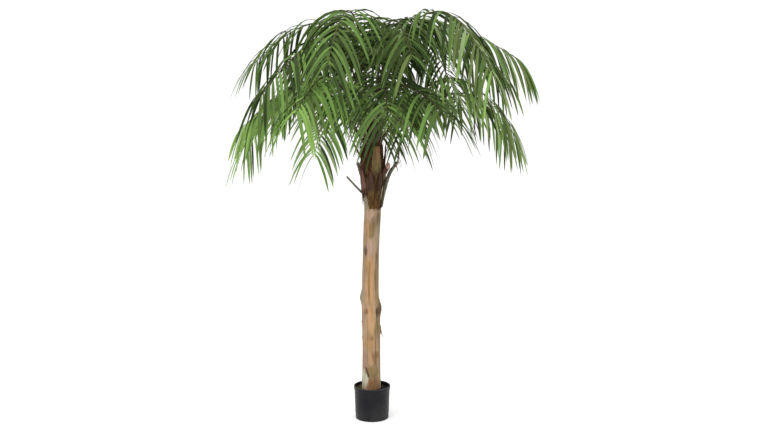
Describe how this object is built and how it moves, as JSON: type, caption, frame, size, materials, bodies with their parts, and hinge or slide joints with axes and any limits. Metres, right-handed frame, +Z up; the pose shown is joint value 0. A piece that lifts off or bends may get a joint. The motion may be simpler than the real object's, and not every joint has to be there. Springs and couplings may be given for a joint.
{
  "type": "potted artificial fountain palm",
  "caption": "Tall imitation palm: arching feather fronds fountain from a fibre collar on a straight wooden trunk, set in a plain round black pot.",
  "frame": {"origin": "middle of the pot's flat underside", "axes": "+Z up along the trunk, -Y towards the viewer of the picture, +X to the viewer's right"},
  "size_m": [1.5284, 1.3942, 2.0769],
  "materials": {
    "pot_plastic": "black moulded plastic, slight sheen",
    "soil": "cement fill under a thin dark soil layer",
    "peeled_wood": "bare peeled wood, vertical grain, matt",
    "brown_fibre": "coarse brown fibre, matt",
    "dry_leaf_base": "dry brown leaf base, matt",
    "leaf_green": "printed green leaf cloth, satin"
  },
  "bodies": {
    "root": {"pot": "pot_plastic", "pot_fill": "soil", "trunk": "peeled_wood", "collar": "brown_fibre", "leaf_base_lower_1": "dry_leaf_base", "leaf_base_lower_2": "dry_leaf_base", "leaf_base_lower_3": "dry_leaf_base", "leaf_base_lower_4": "dry_leaf_base", "leaf_base_lower_5": "dry_leaf_base", "leaf_base_upper_1": "dry_leaf_base", "leaf_base_upper_2": "dry_leaf_base", "leaf_base_upper_3": "dry_leaf_base", "leaf_base_upper_4": "dry_leaf_base", "leaf_base_upper_5": "dry_leaf_base", "stub_right": "dry_leaf_base", "stub_front": "dry_leaf_base", "stub_left": "dry_leaf_base", "stub_left_upper": "dry_leaf_base", "stub_back": "dry_leaf_base", "frond_01_inner": "leaf_green", "frond_01_outer": "leaf_green", "frond_02_inner": "leaf_green", "frond_02_outer": "leaf_green", "frond_03_inner": "leaf_green", "frond_03_outer": "leaf_green", "frond_04_inner": "leaf_green", "frond_04_outer": "leaf_green", "frond_05_inner": "leaf_green", "frond_05_outer": "leaf_green", "frond_06_inner": "leaf_green", "frond_06_outer": "leaf_green", "frond_07_inner": "leaf_green", "frond_07_outer": "leaf_green", "frond_08_inner": "leaf_green", "frond_08_outer": "leaf_green", "frond_09_inner": "leaf_green", "frond_09_outer": "leaf_green", "frond_10_inner": "leaf_green", "frond_10_outer": "leaf_green", "frond_11_inner": "leaf_green", "frond_11_outer": "leaf_green", "frond_12_inner": "leaf_green", "frond_12_outer": "leaf_green", "frond_13_inner": "leaf_green", "frond_13_outer": "leaf_green", "frond_14_inner": "leaf_green", "frond_14_outer": "leaf_green", "frond_15_inner": "leaf_green", "frond_15_outer": "leaf_green", "frond_16_inner": "leaf_green", "frond_16_outer": "leaf_green", "frond_17_inner": "leaf_green", "frond_17_outer": "leaf_green", "frond_18_inner": "leaf_green", "frond_18_outer": "leaf_green", "frond_19_inner": "leaf_green", "frond_19_outer": "leaf_green", "frond_20_inner": "leaf_green", "frond_20_outer": "leaf_green"}
  },
  "joints": []
}
